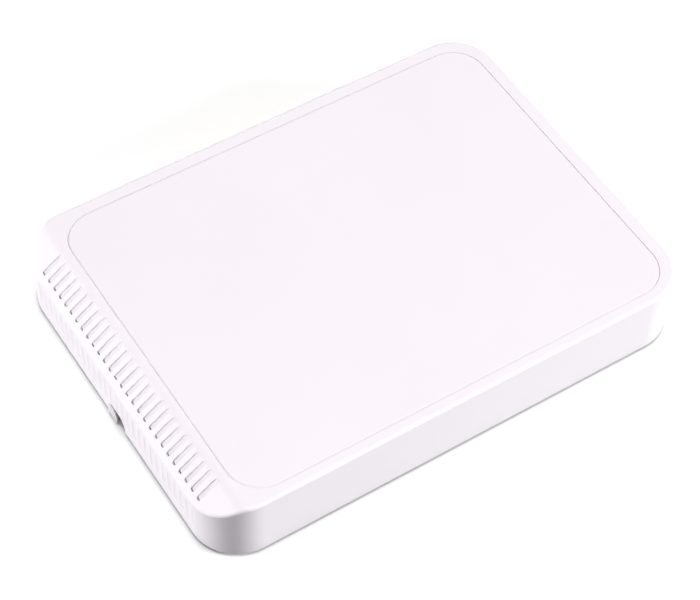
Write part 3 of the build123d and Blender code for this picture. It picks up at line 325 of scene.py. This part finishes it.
def printed_board(name):
    """Green solder mask: copper tracks show through as slightly raised, lighter lines."""
    recipe = Recipe(name)
    lines = recipe.node("ShaderNodeTexVoronoi", feature="DISTANCE_TO_EDGE", distance="MANHATTAN")
    lines.inputs["Scale"].default_value = 1.0 / TRACK_PITCH
    recipe.link(recipe.place, lines.inputs["Vector"])
    track = recipe.ramp(lines.outputs["Distance"], *TRACK_EDGE, 1.0, 0.0)
    recipe.colour(recipe.mix(track, MASK_GREEN, TRACK_GREEN))
    recipe.bump(track, TRACK_HEIGHT)
    return recipe.set(Roughness=MASK_ROUGHNESS, IOR=MASK_IOR).material


# ---- Each material slot's finish ----
CASE_COLOUR = (0.93, 0.876, 0.93)
PLATE_GRAIN, KEY_GRAIN, CERAMIC_GRAIN = 0.003 * MM, 0.002 * MM, 0.001 * MM      # depths

finishes = {
    # the case's vents get painted shade in their recesses
    "case_white": moulded_plastic("white_case_plastic", CASE_COLOUR, 0.46, shade_and_lean=vent_painted_shade_and_lean),
    "plate_white": moulded_plastic("white_plate_plastic", CASE_COLOUR, 0.42, grain_depth=PLATE_GRAIN),
    "base_white": moulded_plastic("base_plastic", (0.72, 0.71, 0.73), 0.52),
    # the latch is greyer than the case: painted shade for the shadowed notch it sits in
    "latch_white": moulded_plastic("latch_plastic_painted_shade", (0.74, 0.70, 0.72), 0.5),
    "button_white": moulded_plastic("key_plastic", (0.80, 0.80, 0.80), 0.34, grain_depth=KEY_GRAIN),
    "foot_rubber": rubber("foot_rubber", (0.36, 0.36, 0.37)),
    "light_pipe": clear_acrylic("light_guide_acrylic", (0.93, 0.97, 0.98)),
    "steel": plated_metal("zinc_plated_steel", (0.70, 0.70, 0.71), 0.34),
    "can_steel": plated_metal("tinned_steel", (0.74, 0.74, 0.73), 0.3),
    "jack_yellow": moulded_plastic("yellow_socket_plastic", (0.78, 0.47, 0.03), 0.42),
    "jack_grey": moulded_plastic("grey_socket_plastic", (0.23, 0.24, 0.25), 0.42),
    "part_black": moulded_plastic("black_socket_plastic", (0.016, 0.016, 0.018), 0.4),
    "contact_gold": plated_metal("gold_plated_contact", (0.86, 0.60, 0.22), 0.24),
    "adapter_green": moulded_plastic("green_adapter_plastic", (0.012, 0.22, 0.10), 0.38),
    "cap_clear": rubber("dust_cap_plastic", (0.72, 0.74, 0.72)),
    "ceramic": moulded_plastic("sleeve_ceramic", (0.86, 0.84, 0.80), 0.2, grain_depth=CERAMIC_GRAIN),
    "board_green": printed_board("printed_board"),
    "chip_black": moulded_plastic("chip_epoxy", (0.020, 0.020, 0.021), 0.55),
    "sink_aluminium": plated_metal("extruded_aluminium", (0.78, 0.79, 0.80), 0.36),
    "thermal_gel": rubber("thermal_pad_silicone", (0.24, 0.31, 0.42)),
    "sleeve_metal": moulded_plastic("capacitor_sleeve", (0.020, 0.022, 0.035), 0.3),
    "ferrite": moulded_plastic("pressed_ferrite", (0.035, 0.035, 0.036), 0.7),
    "lamp_white": moulded_plastic("lamp_package", (0.80, 0.79, 0.52), 0.3),
    "aerial_board": printed_board("aerial_board"),
    "lead_black": rubber("lead_jacket", (0.012, 0.012, 0.012)),
}
for name, piece in nodes.items():
    for place in piece.material_slots:
        place.material = finishes[slot_of[name]]


# ---- Modelling by hand: a primitive, edit-mode operators, then modifiers ----
SMOOTH_BELOW = radians(38)
ROUND_ABOVE = radians(30)
ROUND_STEPS = 3
SAME_WAY = 0.99                  # least cosine between a picked face's normal and its direction
SAME_PLACE = 0.01 * MM
SAME_VERTEX = 0.001 * MM
FLAT_ANGLE = radians(1)


def begin():
    """Object mode with nothing selected."""
    if bpy.context.mode != "OBJECT":
        bpy.ops.object.mode_set(mode="OBJECT")
    bpy.ops.object.select_all(action="DESELECT")


def take(piece):
    """Object mode with only this piece selected, and active."""
    begin()
    piece.select_set(True)
    bpy.context.view_layer.objects.active = piece


def settle(name):
    """Names the active object and moves its place into its mesh."""
    piece = bpy.context.object
    piece.name = name
    bpy.ops.object.transform_apply(location=True, rotation=True, scale=True)
    return piece


def block(name, low, high):
    """A box between two corners."""
    begin()
    low, high = Vector(low), Vector(high)
    bpy.ops.mesh.primitive_cube_add(size=1, location=(low + high) / 2, scale=high - low)
    return settle(name)


def drum(name, start, end, radius, sides):
    """A cylinder from one point to another."""
    begin()
    start, end = Vector(start), Vector(end)
    turn = (end - start).to_track_quat("Z", "Y").to_euler()
    bpy.ops.mesh.primitive_cylinder_add(vertices=sides, radius=radius, depth=(end - start).length,
                                        location=(start + end) / 2, rotation=turn)
    return settle(name)


def pick(piece, kind, wanted):
    """Edit mode, with only the faces or edges selected that are wanted."""
    take(piece)
    bpy.ops.object.mode_set(mode="EDIT")
    bpy.ops.mesh.select_mode(type=kind)
    bpy.ops.mesh.select_all(action="DESELECT")
    bpy.ops.object.mode_set(mode="OBJECT")
    for item in piece.data.polygons if kind == "FACE" else piece.data.edges:
        item.select = wanted(item)
    bpy.ops.object.mode_set(mode="EDIT")


def pick_end(piece, way):
    """Edit mode, with only the piece's outermost faces in a direction selected."""
    take(piece)
    way = Vector(way)
    reach = max(vertex.co.dot(way) for vertex in piece.data.vertices) - SAME_PLACE
    pick(piece, "FACE", lambda face: face.normal.dot(way) > SAME_WAY and face.center.dot(way) > reach)


def pull(x=0.0, y=0.0, z=0.0):
    """Extrudes the selected faces."""
    bpy.ops.mesh.extrude_region_move(TRANSFORM_OT_translate={"value": (x, y, z)})


def step(centre, x=1.0, y=1.0, z=1.0):
    """A ledge: the selected faces get a new rim, scaled about a point."""
    pull()
    bpy.ops.transform.resize(value=(x, y, z), center_override=centre)


def inset(width):
    """Draws a smaller outline inside the selected faces."""
    bpy.ops.mesh.inset(thickness=width)


def modify(piece, kind, **settings):
    """Gives a piece a modifier with these settings and applies it."""
    take(piece)
    made = piece.modifiers.new(kind.lower(), kind)
    for key, value in settings.items():
        setattr(made, key, value)
    bpy.ops.object.modifier_apply(modifier=made.name)


def rounded(piece, radius):
    """Applies a small round on the sharp edges and smooths what is round."""
    modify(piece, "BEVEL", width=radius, segments=ROUND_STEPS, limit_method="ANGLE", angle_limit=ROUND_ABOVE)
    bpy.ops.object.shade_smooth_by_angle(angle=SMOOTH_BELOW)


def loose_copy(node, name):
    """A copy of a node's mesh in edit mode, with its triangles merged into whole faces."""
    take(nodes[node])
    bpy.ops.object.duplicate()
    piece = bpy.context.object
    piece.name = name
    for key in [key for key in piece.keys() if key.startswith("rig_")]:
        del piece[key]
    piece.parent = None
    bpy.ops.mesh.customdata_custom_splitnormals_clear()
    bpy.ops.object.mode_set(mode="EDIT")
    bpy.ops.mesh.select_all(action="SELECT")
    bpy.ops.mesh.remove_doubles(threshold=SAME_VERTEX)
    bpy.ops.mesh.dissolve_limited(angle_limit=FLAT_ANGLE)
    bpy.ops.mesh.normals_make_consistent(inside=False)
    return piece


def stand_for(piece, node, body):
    """Gives a finished piece the node's finish and lets it ride in the node's place."""
    slot = slot_of[node]
    piece.data.materials.clear()
    piece.data.materials.append(finishes[slot])
    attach(piece, body)
    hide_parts(node)


# ---- Feet: a ring to stand on, a groove and a middle pad ----
FOOT_RADIUS = 5.8 * MM
FOOT_SIDES = 64
FOOT_RING = 1.1 * MM
FOOT_GROOVE = 0.9 * MM
FOOT_GROOVE_DEPTH = 0.35 * MM
FOOT_PAD_HEIGHT = 0.28 * MM      # from the groove's floor
FOOT_PAD_RIM = 0.9 * MM
FOOT_PAD_DISH = 0.175 * MM
FOOT_ROUND = 0.16 * MM


def make_feet():
    low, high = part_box("rubber_feet")
    x, y = low.x + FOOT_RADIUS, low.y + FOOT_RADIUS
    foot = drum("rubber_foot_1", (x, y, low.z), (x, y, high.z), FOOT_RADIUS, FOOT_SIDES)
    pick_end(foot, (0, 0, -1))
    inset(FOOT_RING)
    pull(z=FOOT_GROOVE_DEPTH)
    inset(FOOT_GROOVE)
    pull(z=-FOOT_PAD_HEIGHT)
    inset(FOOT_PAD_RIM)
    pull(z=FOOT_PAD_DISH)
    rounded(foot, FOOT_ROUND)
    feet = [foot]
    for number, (right, rear) in enumerate(((1, 0), (0, 1), (1, 1)), start=2):
        take(foot)
        bpy.ops.object.duplicate()
        bpy.ops.transform.translate(value=(-2 * x * right, -2 * y * rear, 0))
        feet.append(settle(f"rubber_foot_{number}"))
    for piece in feet:
        stand_for(piece, "rubber_feet", "root")


# ---- Dust cap: a hollow plug, a flange against the socket and a ribbed grip ----
CAP_PLUG_LENGTH = 8.0 * MM
CAP_PLUG_WIDTH, CAP_PLUG_HEIGHT = 8.8 * MM, 7.1 * MM
CAP_PLUG_WALL = 1.2 * MM
CAP_PLUG_HOLLOW = 7.2 * MM
CAP_FLANGE = 1.2 * MM
CAP_GRIP_WIDTH, CAP_GRIP_HEIGHT = 7.0 * MM, 3.6 * MM
CAP_RIBS = 4
CAP_WAIST = 0.78                 # height of the grip between two ribs, as a share of a rib's
CAP_ROUND = 0.15 * MM


def make_dust_cap():
    low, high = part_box("optical_dust_cap")
    centre = (low + high) / 2
    width, height = high.x - low.x, high.z - low.z
    flange_start = low.y + CAP_PLUG_LENGTH
    flange_end = flange_start + CAP_FLANGE
    cap = block("optical_cap", (low.x, flange_start, low.z), (high.x, flange_end, high.z))
    pick_end(cap, (0, -1, 0))
    step(centre, x=CAP_PLUG_WIDTH / width, z=CAP_PLUG_HEIGHT / height)
    pull(y=-CAP_PLUG_LENGTH)
    inset(CAP_PLUG_WALL)
    pull(y=CAP_PLUG_HOLLOW)
    pick_end(cap, (0, 1, 0))
    step(centre, x=CAP_GRIP_WIDTH / width, z=CAP_GRIP_HEIGHT / height)
    rib = (high.y - flange_end) / (2 * CAP_RIBS)
    for _ in range(CAP_RIBS):
        step(centre, z=CAP_WAIST)
        pull(y=rib)
        step(centre, z=1 / CAP_WAIST)
        pull(y=rib)
    rounded(cap, CAP_ROUND)
    stand_for(cap, "optical_dust_cap", "dust_cap")


# ---- Power key: a round cap with a finger dish, held by a flange behind the panel ----
KEY_RADIUS = 4.2 * MM
KEY_SIDES = 72
KEY_FLANGE_START = 4.8 * MM      # from the back of the cap
KEY_FLANGE = 1.0 * MM
KEY_SOCKET_RADIUS = 2.1 * MM     # takes the square end of the plunger
KEY_SOCKET_DEPTH = 3.5 * MM
KEY_RIM = 0.7 * MM
KEY_DISH = 0.3 * MM
KEY_DISH_STEP = 0.6 * MM
KEY_ROUND = 0.22 * MM


def make_power_key():
    low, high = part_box("power_button")
    centre = (low + high) / 2
    flange = (high.x - low.x) / 2 / KEY_RADIUS
    start = Vector((centre.x, low.y, centre.z))
    key = drum("power_key_cap", start, start + Vector((0, KEY_FLANGE_START, 0)), KEY_RADIUS, KEY_SIDES)
    pick_end(key, (0, 1, 0))
    step(centre, x=flange, z=flange)
    pull(y=KEY_FLANGE)
    step(centre, x=1 / flange, z=1 / flange)
    pull(y=high.y - low.y - KEY_FLANGE_START - KEY_FLANGE)
    inset(KEY_RIM)
    pull(y=-KEY_DISH / 2)
    inset(KEY_DISH_STEP)
    pull(y=-KEY_DISH / 2)
    pick_end(key, (0, -1, 0))
    inset(KEY_RADIUS - KEY_SOCKET_RADIUS)
    pull(y=KEY_SOCKET_DEPTH)
    rounded(key, KEY_ROUND)
    stand_for(key, "power_button", "power_key")


# ---- Push keys at the plain end: their sharp edges get the round of their mould ----
PUSH_KEY_ROUND = 0.35 * MM


def make_push_keys():
    for key in ("wlan", "wps"):
        cap = loose_copy(f"{key}_button", f"{key}_key_cap")
        rounded(cap, PUSH_KEY_ROUND)
        stand_for(cap, f"{key}_button", f"{key}_key")


# ---- Latch: a bar behind the wall, and a thumb pad that fills the arch of the notch ----
BAR_ROUND = 0.3 * MM
PAD_BACK = 1.1 * MM              # from the latch's outermost point back to the pad's face
PAD_DEPTH = 1.6 * MM
PAD_TOP = 6.6 * MM               # above the desk
PAD_ARCH = 2.9 * MM
ARCH_STEPS = 10
PAD_ROUND = 0.4 * MM


def make_thumb_pad(low, high):
    """A pad whose two upper corners, seen from the end of the case, are round."""
    pad = block("thumb_pad", low, high)

    def upper_corner(edge):
        first, second = (pad.data.vertices[number].co for number in edge.vertices)
        return min(first.z, second.z) > high[2] - SAME_PLACE and abs(first.y - second.y) < SAME_PLACE

    pick(pad, "EDGE", upper_corner)
    bpy.ops.mesh.bevel(offset=PAD_ARCH, segments=ARCH_STEPS)
    rounded(pad, PAD_ROUND)
    return pad


def make_thumb_latch():
    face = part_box("release_latch")[0].x + PAD_BACK
    wall = shell_low.x
    outside = [vertex.co for vertex in nodes["release_latch"].data.vertices if vertex.co.x < wall]
    sides = [co.y for co in outside]
    bottom = min(co.z for co in outside)
    latch = loose_copy("release_latch", "thumb_latch")
    bpy.ops.mesh.select_all(action="SELECT")
    bpy.ops.mesh.bisect(plane_co=(wall, 0, 0), plane_no=(1, 0, 0), use_fill=True, clear_inner=True)
    rounded(latch, BAR_ROUND)
    pad = make_thumb_pad((face, min(sides), bottom), (face + PAD_DEPTH, max(sides), PAD_TOP))
    modify(latch, "BOOLEAN", operation="UNION", solver="EXACT", object=pad)
    bpy.data.objects.remove(pad)
    bpy.ops.object.shade_smooth_by_angle(angle=SMOOTH_BELOW)
    stand_for(latch, "release_latch", "latch")


make_feet()
make_dust_cap()
make_power_key()
make_thumb_latch()
make_push_keys()


# ---- Floor and surroundings ----
FLOOR_SIZE = 6.0
FLOOR_GREYS = ((0.19, 0.19, 0.20), (0.21, 0.21, 0.22))
FLOOR_CLOUDS = 0.5
FLOOR_LIFT_NEAR = 0.22           # glow of the sweep beside the case, where its shadow has to stay
FLOOR_LIFT_FAR = 0.5             # and out where the lamps fall off
FLOOR_LIFT_START = 0.1
FLOOR_LIFT_END = 0.45
CASE_CORNER = 17 * MM            # radius of the case's corners, seen from above
SHADE_IN, SHADE_OUT = 0.8 * MM, 0.4 * MM            # from the case's edge to full shade, and to none
WORLD_FILL = 0.02
WHITE = (1.0, 1.0, 1.0)


def seen_directly(tree):
    """1 for what the camera sees, also in a mirror or through glass.

    It is 0 for light on its way to a surface, so a glow that it feeds doesn't light the case.
    """
    path = tree.nodes.new("ShaderNodeLightPath")
    total = path.outputs["Is Camera Ray"]
    for way in ("Is Glossy Ray", "Is Transmission Ray"):
        add = tree.nodes.new("ShaderNodeMath")
        add.operation = "MAXIMUM"
        tree.links.new(total, add.inputs[0])
        tree.links.new(path.outputs[way], add.inputs[1])
        total = add.outputs[0]
    return total


def beside_case(recipe):
    """0 on the floor under the case, whose shade is deep, and 1 beside it."""
    x, y, _ = recipe.axes()
    past_corner = recipe.distance(recipe.beyond(x, shell_high.x - CASE_CORNER),
                                  recipe.beyond(y, shell_high.y - CASE_CORNER))
    return recipe.ramp(past_corner, CASE_CORNER - SHADE_IN, CASE_CORNER + SHADE_OUT)


def floor_material():
    """A pale sweep: it takes the case's shadow and looks white wherever nothing shades it."""
    recipe = Recipe("pale_sweep")
    matt = recipe.mix(recipe.spread(recipe.noise(FLOOR_CLOUDS)), *FLOOR_GREYS)
    seen = seen_directly(recipe.tree)
    recipe.colour(recipe.mix(seen, matt, WHITE))
    from_middle = recipe.node("ShaderNodeVectorMath", operation="LENGTH")
    recipe.link(recipe.place, from_middle.inputs[0])
    glow = recipe.ramp(from_middle.outputs["Value"], FLOOR_LIFT_START, FLOOR_LIFT_END,
                       FLOOR_LIFT_NEAR, FLOOR_LIFT_FAR, curve="SMOOTHSTEP")
    lift = recipe.calc("MULTIPLY", seen, recipe.calc("MULTIPLY", glow, beside_case(recipe)))
    recipe.link(lift, recipe.shader.inputs["Emission Strength"])
    return recipe.set(Emission_Color=(*WHITE, 1.0), Roughness=1.0, Specular_IOR_Level=0.0).material


def make_floor():
    begin()
    bpy.ops.mesh.primitive_plane_add(size=FLOOR_SIZE, location=(0, 0, 0))
    floor = settle("floor")
    floor.data.materials.append(floor_material())


def make_world():
    world = bpy.data.worlds.new("studio")
    bpy.context.scene.world = world
    world.use_nodes = True
    tree = world.node_tree
    back = tree.nodes["Background"]
    back.inputs["Color"].default_value = (*WHITE, 1.0)
    strength = tree.nodes.new("ShaderNodeMapRange")
    strength.inputs["To Min"].default_value = WORLD_FILL
    strength.inputs["To Max"].default_value = 1.0
    tree.links.new(seen_directly(tree), strength.inputs["Value"])
    tree.links.new(strength.outputs["Result"], back.inputs["Strength"])


# ---- Lamps: one overhead for the roof, and a low one for each wall that the camera sees ----
# Name, bearing from +X towards +Y and height above the floor in degrees, distance and size in metres,
# watts, and whether surfaces mirror it. The low lamps' glare along the roof would bleach it.
LAMPS = (
    ("top_box", 0, 90, 2.0, 0.72, 23.8, True),
    ("left_box", 154, 8, 2.0, 0.5, 36.5, False),
    ("right_front_box", 318, 15, 2.4, 0.8, 69.5, False),
)


def make_softbox(name, bearing, height, distance, size, watts, mirrored):
    """A square soft lamp that looks at the case."""
    lamp = bpy.data.lights.new(name, "AREA")
    lamp.size = size
    lamp.energy = watts
    stand = bpy.data.objects.new(name, lamp)
    bpy.context.scene.collection.objects.link(stand)
    across, up = radians(bearing), radians(height)
    place = Vector((cos(across) * cos(up), sin(across) * cos(up), sin(up))) * distance
    stand.location = place
    stand.rotation_euler = (-place).to_track_quat("-Z", "Y").to_euler()
    stand.visible_glossy = mirrored


make_floor()
make_world()
for lamp in LAMPS:
    make_softbox(*lamp)


# ---- Camera ----
CAMERA_PLACE = Vector((-0.25963, -0.37982, 0.61371))
CAMERA_AIM = Vector((-0.01112, -0.01541, 0.028))
CAMERA_ROLL = radians(2.41)
CAMERA_LENS = 110.34             # focal length and sensor width in millimetres
SENSOR_WIDTH = 36.0


def make_camera():
    lens = bpy.data.cameras.new("camera")
    lens.lens = CAMERA_LENS
    lens.sensor_width = SENSOR_WIDTH
    camera = bpy.data.objects.new("camera", lens)
    bpy.context.scene.collection.objects.link(camera)
    camera.location = CAMERA_PLACE
    look = (CAMERA_AIM - CAMERA_PLACE).to_track_quat("-Z", "Y")
    camera.rotation_euler = (look @ Quaternion((0, 0, 1), CAMERA_ROLL)).to_euler()
    bpy.context.scene.camera = camera


make_camera()
bpy.context.scene.view_settings.view_transform = "Standard"
